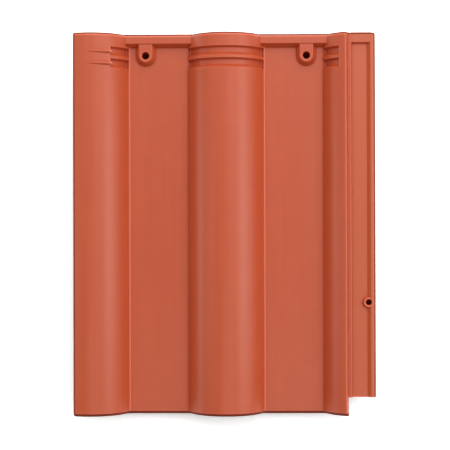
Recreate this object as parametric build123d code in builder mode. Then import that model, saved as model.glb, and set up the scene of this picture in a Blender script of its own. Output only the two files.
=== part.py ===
"""Interlocking roof tile with two rolls and two flat pans, pressed in one piece from coated concrete.

X runs across the tile, Y runs up the roof slope to the tile's head, Z is up. The origin is the middle
of the tile on the level it lies on: its two head nibs and its tail bars stand on Z = 0. Millimetres.
"""

import os
from math import asin, atan2, cos, degrees, radians, sin, sqrt

from build123d import *

os.makedirs("parts", exist_ok=True)

# Length, and the spacing that the rolls share with the next tile of the course
length = 424.0
roll_pitch = 150.9
side_gap = 0.6
cover_reach = 17.6
flange_width = 32.8

# Section of the rolls and pans
roll_chord = 85.5
roll_rise = 28.0
hollow_chord = 72.0
body_thickness = 11.5
foot_depth = 12.0

# Side flange that the next tile covers: wall, ledge, channel and rim
wall_draft = 2.6
ledge_width = 3.3
ledge_slope = 1.7
channel_width = 15.9
rim_slope = 3.8
channel_height = 11.4
ledge_rise = 4.2
rim_rise = 3.4
flange_thickness = 9.4
flange_setback = 20.1

# Cover edge: the rebate and tongue that lie over the next tile's flange
lap_clearance = 1.5
tongue_width = 6.5
tongue_draft = 1.0

# Bars across the head of each pan and of the channel
bar_rise = 8.0
bar_width = 10.6
bar_slope = 4.1
bar_end = 5.5
channel_bar_width = 10.5
channel_bar_slope = 2.4

# Nail holes in their bosses, and the side fixing hole in its collar
nail_hole = 8.0
nail_from_head = 24.0
nail_from_left_roll = 18.55
nail_from_right_roll = 18.4
boss_radius = 11.5
boss_top_radius = 7.2
boss_rise = 7.0
side_hole = 6.6
side_hole_from_head = 298.9
side_hole_from_edge = 7.9
collar_radius = 7.0
collar_top_radius = 5.2

# Grooves across the rolls at the head, and the fins that lead into them on the left roll
groove_count = 2
groove_from_head = 20.4
groove_pitch = 13.2
groove_depth = 3.8
groove_floor = 5.2
groove_head_slope = 2.1
groove_tail_slope = 3.3
groove_lip = 1.1
groove_lip_slope = 1.8
groove_sink = 0.6
left_groove_start = 23.6
right_groove_end = 26.0
fin_tip = 6.1
fin_rise = 2.0
fin_width = 1.8
fin_slope = 1.0
fin_gap = 1.2

# Nibs that hook over the batten, and the bars under the tail
nib_width = 46.0
nib_depth = 14.0
nib_from_head = 4.0
nib_back_slope = 4.0
tail_bar_count = 2
tail_bar_width = 7.0
tail_bar_pitch = 15.0
tail_bar_from_tail = 6.0
tail_bar_in_roll = 6.0

# Edge finish, and how deep an added form is rooted in the body
foot_fillet = 1.8
under_fillet = 4.0
shoulder_fillet = 1.8
flange_fillet = 1.0
rim_fillet = 4.0
cover_fillet = 1.4
head_fillet = 3.8
bar_fillet = 1.0
boss_fillet = 0.9
nail_hole_fillet = 1.0
side_hole_fillet = 0.7
foot_chamfer = 1.2
tail_bevel_run = 3.4
tail_bevel_drop = 4.6
corner_radius = 2.0
root = 2.0

# Sizes and places nearer to each other than this are taken as one
near = 0.05

# Heights above the level that the tile lies on
pan_under = foot_depth
pan_top = pan_under + body_thickness
bar_top = pan_top + bar_rise
bar_foot = pan_top - head_fillet - root
boss_top = pan_top + boss_rise
crest_top = pan_top + roll_rise
floor_top = pan_top + channel_height
ledge_top = floor_top + ledge_rise
rim_top = floor_top + rim_rise
flange_under = floor_top - flange_thickness
rebate_roof = ledge_top + lap_clearance
tongue_bottom = floor_top + lap_clearance

# A roll is an arc over its chord, and the hollow under it is a flatter one
half_roll = roll_chord / 2
half_hollow = hollow_chord / 2
roll_radius = (half_roll**2 + roll_rise**2) / (2 * roll_rise)
roll_axis = crest_top - roll_radius
hollow_radius = (half_hollow**2 + roll_rise**2) / (2 * roll_rise)
hollow_axis = pan_under + roll_rise - hollow_radius

# Troughs that the grooves end in, one over each roll, with a low lip left at the roll's foot
trough_floor = pan_top - groove_sink
trough_top = crest_top + 2 * root
trough_foot = half_roll - foot_fillet / 4 - groove_lip_slope
trough_mouth = trough_foot + groove_lip_slope * (trough_top - trough_floor) / (groove_lip + groove_sink)

# Places across the tile
cover_width = 2 * roll_pitch
width = cover_width - side_gap + flange_width
left = -width / 2
right = width / 2
crests = [left + cover_reach + i * roll_pitch for i in range(3)]
pans = [(crests[i] + half_roll, crests[i + 1] - half_roll) for i in range(2)]
shoulder = left + cover_width - side_gap
ledge_left = shoulder + wall_draft
ledge_right = ledge_left + ledge_width
channel_left = ledge_right + ledge_slope
channel_right = channel_left + channel_width
rim_left = channel_right + rim_slope
rebate_right = left + flange_width - side_gap + lap_clearance
tongue_left = channel_left - cover_width + lap_clearance
tongue_right = tongue_left + tongue_width
wall_inside = crests[2] - sqrt(hollow_radius**2 - (flange_under - hollow_axis) ** 2)

# Places along the tile
head = length / 2
tail = -length / 2
nail_y = head - nail_from_head
nail_places = [pans[0][0] + nail_from_left_roll, pans[1][1] - nail_from_right_roll]
side_hole_place = (right - side_hole_from_edge, head - side_hole_from_head)
batten_face = head - nib_from_head - nib_depth
groove_middles = [head - groove_from_head - i * groove_pitch for i in range(groove_count)]


def on_roll(crest, across):
    """A point of a roll's outer curve, so far across from its crest."""
    return (crest + across, roll_axis + sqrt(roll_radius**2 - across**2))


def under_roll(crest, across):
    """A point of the hollow under a roll, so far across from its crest."""
    return (crest + across, hollow_axis + sqrt(hollow_radius**2 - across**2))


def roll_angle(across):
    """Angle from upright of the roll's surface point that lies so far across from its crest."""
    return degrees(asin(across / roll_radius))


def radial_plane(axis_x, axis_z, angle):
    """The plane through an axis along Y that leans by this angle from upright towards +X."""
    lean = radians(angle)
    return Plane((axis_x, 0, axis_z), x_dir=(sin(lean), 0, cos(lean)), z_dir=(-cos(lean), 0, sin(lean)))


def top_height(x):
    """Height of the tile's upper outline at this place across, without its small roundings."""
    if x > shoulder:
        return floor_top
    crest = min(crests, key=lambda place: abs(place - x))
    if abs(x - crest) > half_roll:
        return pan_top
    return on_roll(crest, x - crest)[1]


def end_face(tile, y):
    """The largest flat face that stands across the tile at this place along it."""
    across = tile.faces().filter_by(Axis.Y)
    return across.filter_by(lambda face: abs(face.center().Y - y) < near).sort_by(SortBy.AREA)[-1]


def upper_edges(face):
    """The edges of an end face that lie along the tile's upper outline."""
    slack = foot_fillet / 2
    return face.edges().filter_by(lambda edge: edge.center().Z > top_height(edge.center().X) - slack)


def level_edges(tile, height):
    """The edges that lie flat at this height."""
    flat = tile.edges().filter_by(lambda edge: edge.bounding_box().size.Z < near)
    return flat.filter_by(lambda edge: abs(edge.center().Z - height) < near)


def hole_rim(tile, height, radius):
    """The circles of this radius that lie flat at this height."""
    circles = level_edges(tile, height).filter_by(GeomType.CIRCLE)
    return circles.filter_by(lambda edge: abs(edge.radius - radius) < near)


# Section across the tile, drawn from the cover edge over the top and back along the underside
cover_corner = on_roll(crests[0], -cover_reach)
shoulder_corner = on_roll(crests[2], shoulder - crests[2])
flank_middle = (shoulder - crests[2] - half_roll) / 2
haunch_middle = (wall_inside - crests[2] - half_hollow) / 2
hook = rebate_right - crests[0]
with BuildSketch(Plane.XZ.offset(-head)) as section:
    with BuildLine():
        Line((left, rebate_roof), cover_corner)
        ThreePointArc(cover_corner, on_roll(crests[0], 0), on_roll(crests[0], half_roll))
        Line(on_roll(crests[0], half_roll), on_roll(crests[1], -half_roll))
        ThreePointArc(*[on_roll(crests[1], across) for across in (-half_roll, 0, half_roll)])
        Line(on_roll(crests[1], half_roll), on_roll(crests[2], -half_roll))
        ThreePointArc(on_roll(crests[2], -half_roll), on_roll(crests[2], flank_middle), shoulder_corner)
        Polyline(
            shoulder_corner,
            (ledge_left, ledge_top),
            (ledge_right, ledge_top),
            (channel_left, floor_top),
            (channel_right, floor_top),
            (rim_left, rim_top),
            (right, rim_top),
            (right, flange_under),
            (wall_inside, flange_under),
        )
        ThreePointArc(
            (wall_inside, flange_under),
            under_roll(crests[2], haunch_middle),
            under_roll(crests[2], -half_hollow),
        )
        Line(under_roll(crests[2], -half_hollow), under_roll(crests[1], half_hollow))
        ThreePointArc(*[under_roll(crests[1], across) for across in (half_hollow, 0, -half_hollow)])
        Line(under_roll(crests[1], -half_hollow), under_roll(crests[0], half_hollow))
        ThreePointArc(
            under_roll(crests[0], half_hollow),
            under_roll(crests[0], (hook + half_hollow) / 2),
            under_roll(crests[0], hook),
        )
        Polyline(
            under_roll(crests[0], hook),
            (rebate_right, rebate_roof),
            (tongue_right, rebate_roof),
            (tongue_right - tongue_draft, tongue_bottom),
            (tongue_left + tongue_draft, tongue_bottom),
            (tongue_left, rebate_roof),
            (left, rebate_roof),
        )
    make_face()
    rounds = [
        (pan_top, foot_fillet),
        (pan_under, under_fillet),
        (ledge_top, flange_fillet),
        (floor_top, flange_fillet),
    ]
    for height, radius in rounds:
        fillet(section.vertices().filter_by(lambda corner: abs(corner.Y - height) < near), radius)
    # The rim is rounded no further than its width allows
    rim_round = min(rim_fillet, right - rim_left - flange_fillet)
    for place, radius in [(rim_left, flange_fillet), (right, rim_round)]:
        fillet(section.vertices().sort_by_distance((place, rim_top))[0], radius)

# Rings that cut the grooves, kept to the troughs over the rolls
groove_spans = [(roll_angle(left_groove_start), 90), (-90, 90), (-90, roll_angle(-right_groove_end))]
groove_mouth = groove_head_slope + groove_floor + groove_tail_slope
with BuildPart() as grooves:
    for crest, (start, stop) in zip(crests, groove_spans):
        with BuildSketch(radial_plane(crest, roll_axis, start)) as groove_section:
            for middle in groove_middles:
                head_edge = middle + groove_mouth / 2
                tail_edge = middle - groove_mouth / 2
                with BuildLine():
                    Polyline(
                        (roll_radius - groove_depth, tail_edge + groove_tail_slope),
                        (roll_radius, tail_edge),
                        (roll_radius + root, tail_edge),
                        (roll_radius + root, head_edge),
                        (roll_radius, head_edge),
                        (roll_radius - groove_depth, head_edge - groove_head_slope),
                        close=True,
                    )
                make_face()
        revolve(axis=Axis((crest, 0, roll_axis), (0, 1, 0)), revolution_arc=stop - start)
    with BuildSketch(Plane.XZ.offset(-head)) as troughs:
        for crest in crests:
            with BuildLine():
                Polyline(
                    (crest - trough_foot, trough_floor),
                    (crest + trough_foot, trough_floor),
                    (crest + trough_mouth, trough_top),
                    (crest - trough_mouth, trough_top),
                    close=True,
                )
            make_face()
    extrude(amount=length / 4, mode=Mode.INTERSECT)

# Fins on the left roll: rings about an axis set off from the roll's own, so that they climb out of it
fin_tip_angle = roll_angle(-fin_tip)
fin_stop_angle = roll_angle(left_groove_start - fin_gap)
fin_offset = fin_rise / sin(radians(fin_stop_angle - fin_tip_angle))
fin_axis_x = crests[0] + fin_offset * cos(radians(fin_tip_angle))
fin_axis_z = roll_axis - fin_offset * sin(radians(fin_tip_angle))
fin_foot = roll_radius - fin_rise - root
fin_foot_width = fin_width + 2 * fin_slope * (fin_rise + root)
with BuildPart() as fins:
    with BuildSketch(radial_plane(fin_axis_x, fin_axis_z, fin_tip_angle)) as fin_section:
        for middle in groove_middles:
            with BuildLine():
                Polyline(
                    (roll_radius, middle - fin_width / 2),
                    (roll_radius, middle + fin_width / 2),
                    (fin_foot, middle + fin_foot_width / 2),
                    (fin_foot, middle - fin_foot_width / 2),
                    close=True,
                )
            make_face()
    revolve(
        axis=Axis((fin_axis_x, 0, fin_axis_z), (0, 1, 0)),
        revolution_arc=fin_stop_angle - fin_tip_angle,
    )

with BuildPart() as roof_tile:
    extrude(section.sketch, amount=length)

    # The flange stops short of the tail
    with BuildSketch(Plane.XY) as setback:
        with Locations((ledge_left, tail)):
            Rectangle(width, flange_setback, align=(Align.MIN, Align.MIN))
    extrude(amount=crest_top, mode=Mode.SUBTRACT)

    # Bevel along the tail and a round head edge, then the shoulder and the cover edge along their length
    tail_face = end_face(roof_tile, tail)
    tail_edges = upper_edges(tail_face).filter_by(lambda edge: edge.center().X < shoulder)
    chamfer(tail_edges, length=tail_bevel_drop, length2=tail_bevel_run, reference=tail_face)
    head_edges = upper_edges(end_face(roof_tile, head))
    fillet(head_edges.filter_by(lambda edge: edge.center().X < shoulder), head_fillet)
    for corner, radius in [(shoulder_corner, shoulder_fillet), (cover_corner, cover_fillet)]:
        fillet(level_edges(roof_tile, corner[1]).filter_by(Axis.Y), radius)

    # Bars across the head of each pan, running into the rolls at both ends
    for pan_left, pan_right in pans:
        with BuildSketch(Plane.YZ.offset(pan_left - bar_end)) as bar:
            with BuildLine():
                Polyline(
                    (head, bar_foot),
                    (head, bar_top),
                    (head - bar_width, bar_top),
                    (head - bar_width - bar_slope, pan_top),
                    (head - bar_width - bar_slope, bar_foot),
                    close=True,
                )
            make_face()
            fillet(bar.vertices().sort_by_distance((head, bar_top))[0], head_fillet)
        extrude(amount=pan_right - pan_left + 2 * bar_end)

    # Bar across the head of the channel, as high as the rim
    with BuildSketch(Plane.YZ.offset(ledge_right)) as channel_bar:
        with BuildLine():
            Polyline(
                (head, floor_top - root),
                (head, rim_top),
                (head - channel_bar_width, rim_top),
                (head - channel_bar_width - channel_bar_slope, floor_top),
                (head - channel_bar_width - channel_bar_slope, floor_top - root),
                close=True,
            )
        make_face()
    extrude(amount=rim_left + flange_fillet - ledge_right)

    # Bosses round the nail holes, hanging from the bars
    boss_taper = degrees(atan2(boss_radius - boss_top_radius, boss_rise))
    for place in nail_places:
        with BuildSketch(Plane.XY.offset(pan_top)) as boss:
            with Locations((place, nail_y)):
                Circle(boss_radius)
                Rectangle(2 * boss_radius, nail_from_head - bar_slope, align=(Align.CENTER, Align.MIN))
        extrude(amount=boss_rise, taper=boss_taper)

    # Collar that keeps the channel's water out of the side fixing hole
    with BuildSketch(Plane.XY.offset(floor_top)) as collar_foot:
        with Locations(side_hole_place):
            Circle(collar_radius)
    with BuildSketch(Plane.XY.offset(rim_top)) as collar_top:
        with Locations(side_hole_place):
            Circle(collar_top_radius)
    loft()

    # Nibs that hook over the batten, one under each pan
    for pan_left, pan_right in pans:
        with BuildSketch(Plane.YZ.offset((pan_left + pan_right) / 2)) as nib:
            with BuildLine():
                Polyline(
                    (batten_face, pan_under + root),
                    (batten_face, 0),
                    (head - nib_from_head - nib_back_slope, 0),
                    (head - nib_from_head, pan_under),
                    (head - nib_from_head, pan_under + root),
                    close=True,
                )
            make_face()
        extrude(amount=nib_width / 2, both=True)

    # Bars under the tail that keep out driven rain, flat under the pans and arched under the rolls
    axes = [(crest, hollow_axis) for crest in crests]
    for i in range(tail_bar_count):
        bar_y = tail + tail_bar_from_tail + i * tail_bar_pitch + tail_bar_width
        with BuildSketch(Plane.XZ.offset(-bar_y)) as tail_bar:
            Rectangle(width, pan_under + root, align=(Align.CENTER, Align.MIN))
            with Locations(axes):
                Circle(hollow_radius + root)
            with Locations(axes):
                Circle(hollow_radius - tail_bar_in_roll, mode=Mode.SUBTRACT)
            with Locations((rebate_right, 0)):
                Rectangle(
                    wall_inside - rebate_right,
                    crest_top - root,
                    align=(Align.MIN, Align.MIN),
                    mode=Mode.INTERSECT,
                )
        extrude(amount=tail_bar_width)

    add(fins)
    add(grooves, mode=Mode.SUBTRACT)

    # Inner edges of the bars
    bar_edges = level_edges(roof_tile, bar_top).filter_by(Axis.X)
    fillet(bar_edges.filter_by(lambda edge: edge.center().Y < head - bar_width / 2), bar_fillet)

    # Holes, with their rims and the bosses rounded over
    with Locations([(place, nail_y, boss_top) for place in nail_places]):
        Hole(nail_hole / 2)
    with Locations((*side_hole_place, rim_top)):
        Hole(side_hole / 2)
    boss_edges = level_edges(roof_tile, boss_top).filter_by(Axis.X, reverse=True)
    nail_rims = hole_rim(roof_tile, boss_top, nail_hole / 2)
    fillet(boss_edges.filter_by(lambda edge: edge not in nail_rims), boss_fillet)
    fillet(hole_rim(roof_tile, boss_top, nail_hole / 2), nail_hole_fillet)
    fillet(hole_rim(roof_tile, rim_top, side_hole / 2), side_hole_fillet)

    # Feet chamfered, and the tile's four corners rounded in plan
    chamfer(level_edges(roof_tile, 0), foot_chamfer)
    with BuildSketch(Plane.XY) as plan:
        Rectangle(width, length)
        fillet(plan.vertices(), corner_radius)
    extrude(amount=crest_top + root, mode=Mode.INTERSECT)

roof_tile.part.label = "roof_tile"
export_step(roof_tile.part, "parts/roof_tile.step")
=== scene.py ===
"""Looks, light and camera of the interlocking roof tile, which lies on a plain white floor.

Lengths are metres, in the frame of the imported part: X across the tile, Y up to its head, Z up.
"""

import bpy
from math import cos, radians, sin
from mathutils import Euler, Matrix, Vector

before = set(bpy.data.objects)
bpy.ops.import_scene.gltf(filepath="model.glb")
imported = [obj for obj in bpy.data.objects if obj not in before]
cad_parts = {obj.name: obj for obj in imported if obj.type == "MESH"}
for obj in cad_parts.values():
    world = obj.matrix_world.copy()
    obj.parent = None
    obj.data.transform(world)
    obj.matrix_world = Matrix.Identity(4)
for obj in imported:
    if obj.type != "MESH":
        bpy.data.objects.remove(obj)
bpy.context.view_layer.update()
scene = bpy.context.scene
scene.view_settings.view_transform = "Standard"


# The tile: one body of sand and cement, pressed in a mould and coated on its upper side.
# The coat is a coloured slurry under a clear satin acrylic: even in colour, paler where it is thinner on an
# edge, and with the sand's grit just showing through it. Its colour also carries painted light: painted
# highlights on the edges and along a few lines, a painted sheen on the side channel, and painted shade in
# the inner corners and on the outer sides. Underneath, the concrete is left bare and grey.
mm = 0.001
half_width = 167 * mm
half_length = 212 * mm
coat_colour = "#C2542F"
coat_deep = "#BE502C"
# The next four colours carry painted light: sheen in the side channel, shade in the corners, highlights on
# edges and lines, shade on the sides.
channel_sheen_colour = "#C15933"
corner_shade_colour = "#AA381C"
thin_coat_and_highlight = "#D8694A"
side_shade_colour = "#8E3A22"
concrete_colour = "#A39D93"
concrete_dark = "#7D776E"
mottle_size = 26 * mm
streak_width = 5 * mm
streak_length = 160 * mm
mottle_range = (0.12, 0.38)
channel_from = 139 * mm
corner_reach = 5 * mm
corner_range = (0.95, 0.45)
edge_width = 2.2 * mm
edge_range = (0.93, 0.66)
foot_width = 0.9 * mm
foot_height = 27 * mm
right_feet = (-106.65 * mm, 44.25 * mm)
head_line = 209.3 * mm
head_line_width = 0.8 * mm
shoulder_from = 134 * mm
side_depth = 1.9 * mm
end_depth = 3.4 * mm
pore_size = 2.4 * mm
pore_range = (0.35, 0.6)
nib_height = 12.5 * mm
tail_bars_end = -180 * mm
steep_lean = -0.2
under_range = (-0.08, -0.16)
grit_size = 0.9 * mm
grit_height = 0.08 * mm


def linear(colour):
    """An sRGB hex colour as the linear RGBA that Blender's sockets take."""
    parts = [int(colour[i : i + 2], 16) / 255 for i in (1, 3, 5)]
    return [p / 12.92 if p <= 0.04045 else ((p + 0.055) / 1.055) ** 2.4 for p in parts] + [1]


def node(tree, kind, links=(), **settings):
    """Add a node of this kind. Links sets its inputs, to values or other nodes' outputs."""
    made = tree.nodes.new(kind)
    for name, value in settings.items():
        setattr(made, name, value)
    for socket, value in dict(links).items():
        if isinstance(value, bpy.types.NodeSocket):
            tree.links.new(value, made.inputs[socket])
        else:
            made.inputs[socket].default_value = value
    return made


coated = bpy.data.materials.new("coated_concrete")
coated.use_nodes = True
tree = coated.node_tree
tree.nodes.clear()
surface = node(tree, "ShaderNodeTexCoord")
place = surface.outputs["Object"]
across = node(tree, "ShaderNodeSeparateXYZ", {"Vector": place})
facing = node(tree, "ShaderNodeSeparateXYZ", {"Vector": surface.outputs["Normal"]})

# The coat's own colour: soft mottling, and faint streaks along the tile from the press.
mottle = node(
    tree, "ShaderNodeTexNoise", {"Vector": place, "Scale": 1 / mottle_size, "Detail": 4, "Roughness": 0.6}
)
drawn_out = node(
    tree,
    "ShaderNodeMapping",
    {"Vector": place, "Scale": (1 / streak_width, 1 / streak_length, 1 / streak_width)},
)
streaks = node(
    tree,
    "ShaderNodeTexNoise",
    {"Vector": drawn_out.outputs["Vector"], "Scale": 1, "Detail": 3, "Roughness": 0.6},
)
uneven = node(
    tree, "ShaderNodeMath", {0: mottle.outputs["Fac"], 1: streaks.outputs["Fac"]}, operation="MULTIPLY"
)
evenness = node(
    tree,
    "ShaderNodeMapRange",
    {"Value": uneven.outputs["Value"], "From Min": mottle_range[0], "From Max": mottle_range[1]},
)
colour = node(
    tree,
    "ShaderNodeMix",
    {"Factor": evenness.outputs["Result"], 6: linear(coat_deep), 7: linear(coat_colour)},
    data_type="RGBA",
)

# The side channel is painted paler and chalkier, a painted sheen for the stronger shine it takes from the
# light on the right. The inner corners are painted darker, painted shade where less light reaches.
channel = node(tree, "ShaderNodeMath", {0: across.outputs["X"], 1: channel_from}, operation="GREATER_THAN")
# Painted sheen: past channel_from the coat colour is drawn paler.
channel_sheened = node(
    tree,
    "ShaderNodeMix",
    {"Factor": channel.outputs["Value"], 6: colour.outputs[2], 7: linear(channel_sheen_colour)},
    data_type="RGBA",
)
# Painted shade: the coat colour is drawn darker where faces close by hem in a corner.
nook = node(tree, "ShaderNodeAmbientOcclusion", {"Distance": corner_reach}, only_local=True, samples=16)
corner = node(
    tree,
    "ShaderNodeMapRange",
    {"Value": nook.outputs["AO"], "From Min": corner_range[0], "From Max": corner_range[1]},
)
corner_shaded = node(
    tree,
    "ShaderNodeMix",
    {"Factor": corner.outputs["Result"], 6: channel_sheened.outputs[2], 7: linear(corner_shade_colour)},
    data_type="RGBA",
)

# Paler sharp edges, found by looking inwards for a face close behind this one: partly a thinner coat, partly
# a painted highlight. Painted highlight lines along the rounded head and at the right foot of each roll,
# where the fillets catch the light.
behind = node(
    tree, "ShaderNodeAmbientOcclusion", {"Distance": edge_width}, inside=True, only_local=True, samples=16
)
thin_and_highlight = node(
    tree,
    "ShaderNodeMapRange",
    {"Value": behind.outputs["AO"], "From Min": edge_range[0], "From Max": edge_range[1]},
).outputs["Result"]
low = node(tree, "ShaderNodeMath", {0: across.outputs["Z"], 1: foot_height}, operation="LESS_THAN")
inside = node(tree, "ShaderNodeMath", {0: across.outputs["X"], 1: shoulder_from}, operation="LESS_THAN")
lines = [("X", foot, foot_width, low) for foot in right_feet]
lines.append(("Y", head_line, head_line_width, inside))
for axis, middle, half_line, where in lines:
    line = node(
        tree, "ShaderNodeMath", {0: across.outputs[axis], 1: middle, 2: half_line}, operation="COMPARE"
    )
    thin_and_highlight = node(
        tree,
        "ShaderNodeMath",
        {0: line.outputs["Value"], 1: where.outputs["Value"], 2: thin_and_highlight},
        operation="MULTIPLY_ADD",
        use_clamp=True,
    ).outputs["Value"]
# Painted highlight and thinner coat on the edges, mixed into the coat colour.
worn_and_highlit = node(
    tree, "ShaderNodeMix", {"Factor": thin_and_highlight, 6: corner_shaded.outputs[2], 7: linear(thin_coat_and_highlight)}, data_type="RGBA"
)

# Painted shade on the outer sides and the cut tail end: they are drawn darker than the coat, and matt.
side_shade = node(
    tree, "ShaderNodeMath", {0: across.outputs["Y"], 1: end_depth - half_length}, operation="LESS_THAN"
).outputs["Value"]
for axis, sign, edge in (("X", -1, half_width), ("X", 1, half_width), ("Y", 1, half_length)):
    reach = node(tree, "ShaderNodeMath", {0: across.outputs[axis], 1: sign}, operation="MULTIPLY")
    past = node(
        tree, "ShaderNodeMath", {0: reach.outputs["Value"], 1: edge - side_depth}, operation="GREATER_THAN"
    )
    side_shade = node(
        tree, "ShaderNodeMath", {0: side_shade, 1: past.outputs["Value"]}, operation="MAXIMUM"
    ).outputs["Value"]

# The underside is a bare cement skin with darker pores. What faces down is bare, and so are the upright
# sides of the nibs and of the tail bars.
pores = node(
    tree, "ShaderNodeTexNoise", {"Vector": place, "Scale": 1 / pore_size, "Detail": 5, "Roughness": 0.75}
)
pitted = node(
    tree,
    "ShaderNodeMapRange",
    {"Value": pores.outputs["Fac"], "From Min": pore_range[0], "From Max": pore_range[1]},
)
bare = node(
    tree,
    "ShaderNodeMix",
    {"Factor": pitted.outputs["Result"], 6: linear(concrete_dark), 7: linear(concrete_colour)},
    data_type="RGBA",
)
beneath = node(tree, "ShaderNodeMath", {0: across.outputs["Z"], 1: nib_height}, operation="LESS_THAN")
near_tail = node(tree, "ShaderNodeMath", {0: across.outputs["Y"], 1: tail_bars_end}, operation="LESS_THAN")
at_bars = node(
    tree, "ShaderNodeMath", {0: near_tail.outputs["Value"], 1: inside.outputs["Value"]}, operation="MULTIPLY"
)
steep = node(
    tree, "ShaderNodeMath", {0: beneath.outputs["Value"], 1: at_bars.outputs["Value"]}, operation="MAXIMUM"
)
turned = node(
    tree,
    "ShaderNodeMath",
    {0: steep.outputs["Value"], 1: steep_lean, 2: facing.outputs["Z"]},
    operation="MULTIPLY_ADD",
)
under = node(
    tree,
    "ShaderNodeMapRange",
    {"Value": turned.outputs["Value"], "From Min": under_range[0], "From Max": under_range[1]},
)

# The sand's grit, finer on the real tile and drawn coarser here, or it wouldn't show.
grit = node(
    tree, "ShaderNodeTexNoise", {"Vector": place, "Scale": 1 / grit_size, "Detail": 2, "Roughness": 0.7}
)
relief = node(
    tree, "ShaderNodeBump", {"Height": grit.outputs["Fac"], "Strength": 0.35, "Distance": grit_height}
)

# The coat has a soft satin shine; the bare underside and the painted-shade sides and tail end are matt.
satin = node(
    tree,
    "ShaderNodeBsdfPrincipled",
    {"Base Color": worn_and_highlit.outputs[2], "Roughness": 0.35, "IOR": 1.5, "Normal": relief.outputs["Normal"]},
)
inner = node(
    tree, "ShaderNodeMath", {0: under.outputs["Result"], 1: side_shade}, operation="SUBTRACT", use_clamp=True
)
# Painted shade colour on the outer sides and tail end, bare concrete on the rest of the underside.
side_shade_and_bare = node(
    tree,
    "ShaderNodeMix",
    {"Factor": inner.outputs["Value"], 6: linear(side_shade_colour), 7: bare.outputs[2]},
    data_type="RGBA",
)
matt_bsdf = node(
    tree,
    "ShaderNodeBsdfPrincipled",
    {
        "Base Color": side_shade_and_bare.outputs[2],
        "Roughness": 0.9,
        "IOR": 1.5,
        "Specular IOR Level": 0.2,
        "Normal": relief.outputs["Normal"],
    },
)
matt_parts = node(tree, "ShaderNodeMath", {0: side_shade, 1: under.outputs["Result"]}, operation="MAXIMUM")
finish = node(
    tree,
    "ShaderNodeMixShader",
    {0: matt_parts.outputs["Value"], 1: satin.outputs["BSDF"], 2: matt_bsdf.outputs["BSDF"]},
)
node(tree, "ShaderNodeOutputMaterial", {"Surface": finish.outputs["Shader"]})
tile = bpy.data.objects["roof_tile"]
tile.data.materials.clear()
tile.data.materials.append(coated)


# The floor: a sheet of matt white paper that still takes the tile's shadow. To the camera and in
# reflections it is paler than paper, and more so far from the tile, so that it reads as plain white.
floor_side = 40.0
paper_colour = "#F4F4F4"
near_tile = 0.6
near_white = 1.8
far_off = 3.0
far_white = 7.0
floor_mesh = bpy.data.meshes.new("floor")
corners = [(x * floor_side / 2, y * floor_side / 2, 0) for x, y in ((-1, -1), (1, -1), (1, 1), (-1, 1))]
floor_mesh.from_pydata(corners, [], [(0, 1, 2, 3)])
floor = bpy.data.objects.new("floor", floor_mesh)
scene.collection.objects.link(floor)
paper = bpy.data.materials.new("white_paper")
paper.use_nodes = True
tree = paper.node_tree
tree.nodes.clear()
place = node(tree, "ShaderNodeTexCoord").outputs["Object"]
away = node(tree, "ShaderNodeVectorMath", {0: place}, operation="LENGTH")
white = node(
    tree,
    "ShaderNodeMapRange",
    {
        "Value": away.outputs["Value"],
        "From Min": near_tile,
        "From Max": far_off,
        "To Min": near_white,
        "To Max": far_white,
    },
)
path = node(tree, "ShaderNodeLightPath").outputs
shiny = node(
    tree, "ShaderNodeMath", {0: path["Is Glossy Ray"], 1: path["Is Transmission Ray"]}, operation="MAXIMUM"
)
seen = node(
    tree, "ShaderNodeMath", {0: path["Is Camera Ray"], 1: shiny.outputs["Value"]}, operation="MAXIMUM"
)
sheet = node(
    tree,
    "ShaderNodeMix",
    {"Factor": seen.outputs["Value"], 6: linear(paper_colour), 7: white.outputs["Result"]},
    data_type="RGBA",
)
matt = node(tree, "ShaderNodeBsdfDiffuse", {"Color": sheet.outputs[2]})
node(tree, "ShaderNodeOutputMaterial", {"Surface": matt.outputs["BSDF"]})
floor_mesh.materials.append(paper)


# Painted shade behind the holes: a small dark disc close under each one, so that the holes read dark.
# It belongs to the setting, like the floor, and is out of sight from every side.
hole_shade_colour = "#8A3C28"
disc_points = 32
discs = (
    (-88.1 * mm, 188 * mm, 11.8 * mm, 5.4 * mm),
    (91.25 * mm, 188 * mm, 11.8 * mm, 5.4 * mm),
    (159.1 * mm, -86.9 * mm, 25.3 * mm, 4.6 * mm),
)
hole_shade_mesh = bpy.data.meshes.new("hole_shade")
corners = []
faces = []
for x, y, height, radius in discs:
    faces.append(tuple(range(len(corners), len(corners) + disc_points)))
    for i in range(disc_points):
        angle = radians(360 * i / disc_points)
        corners.append((x + radius * cos(angle), y + radius * sin(angle), height))
hole_shade_mesh.from_pydata(corners, [], faces)
hole_shade = bpy.data.objects.new("hole_shade", hole_shade_mesh)
scene.collection.objects.link(hole_shade)
hole_shade_material = bpy.data.materials.new("painted_hole_shade")
hole_shade_material.use_nodes = True
tree = hole_shade_material.node_tree
tree.nodes.clear()
hole_shade_bsdf = node(tree, "ShaderNodeBsdfDiffuse", {"Color": linear(hole_shade_colour)})
node(tree, "ShaderNodeOutputMaterial", {"Surface": hole_shade_bsdf.outputs["BSDF"]})
hole_shade_mesh.materials.append(hole_shade_material)


# The light: soft boxes round a white room. The strong ones stand at the head and on the right, so that
# the rolls shine on their right and what faces the tail is dark. A low one on the left fills the shadow.
# Two of the low boxes only fill: mirrored in the coat, they would wash out its colour seen from low down.
room_strength = 0.175
box_side = 1.1
box_distance = 2.5
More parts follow.
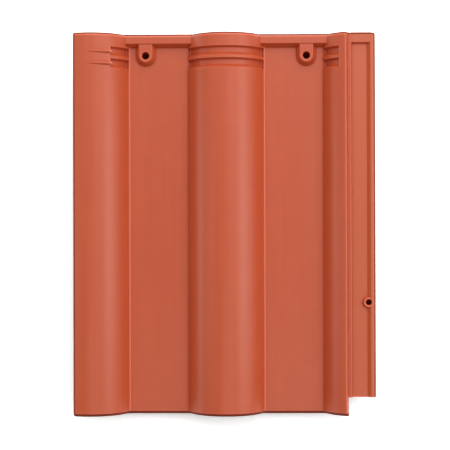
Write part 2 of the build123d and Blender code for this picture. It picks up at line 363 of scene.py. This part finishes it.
# Name, bearing from X and height above the floor in degrees, and power in watts
boxes = [
    ("head_box", 90, 35, 14.0),
    ("right_box", 0, 45, 12.9),
    ("corner_box", 45, 40, 11.4),
    ("low_left_box", 180, 8, 11.0),
    ("low_head_box", 90, 12, 8.0),
    ("high_corner_box", 45, 70, 6.2),
    ("high_head_box", 90, 60, 5.6),
    ("right_level_box", 0, 8, 5.5),
    ("low_right_box", 0, 25, 5.3),
    ("left_head_box", 135, 40, 5.2),
    ("high_tail_box", 270, 72, 5.0),
    ("left_box", 180, 45, 3.7),
    ("high_left_head_box", 135, 65, 3.5),
    ("high_right_box", 315, 65, 2.2),
]
fill_only = ("low_head_box", "right_level_box")
room = bpy.data.worlds.new("room")
scene.world = room
room.use_nodes = True
tree = room.node_tree
tree.nodes.clear()
seen = node(tree, "ShaderNodeLightPath").outputs["Is Camera Ray"]
strength = node(tree, "ShaderNodeMapRange", {"Value": seen, "To Min": room_strength, "To Max": 1})
air = node(tree, "ShaderNodeBackground", {"Color": (1, 1, 1, 1), "Strength": strength.outputs["Result"]})
node(tree, "ShaderNodeOutputWorld", {"Surface": air.outputs["Background"]})
for name, bearing, height, power in boxes:
    lamp = bpy.data.lights.new(name, "AREA")
    lamp.shape = "SQUARE"
    lamp.size = box_side
    lamp.energy = power
    box = bpy.data.objects.new(name, lamp)
    scene.collection.objects.link(box)
    turn = Euler((0, -radians(height), radians(bearing)), "XYZ")
    box.location = turn.to_matrix() @ Vector((box_distance, 0, 0))
    box.rotation_euler = (-box.location).to_track_quat("-Z", "Y").to_euler()
    box.visible_glossy = name not in fill_only


# The camera: straight above the tile and a little to its right, as the photograph was taken.
focal_length = 104.60
camera_place = (21.33 * mm, -8.40 * mm, 1486.2 * mm)
camera_degrees = (0.292, 0.835, -0.151)
camera_data = bpy.data.cameras.new("camera")
camera_data.sensor_width = 36
camera_data.lens = focal_length
camera = bpy.data.objects.new("camera", camera_data)
scene.collection.objects.link(camera)
camera.location = camera_place
camera.rotation_euler = [radians(angle) for angle in camera_degrees]
scene.camera = camera
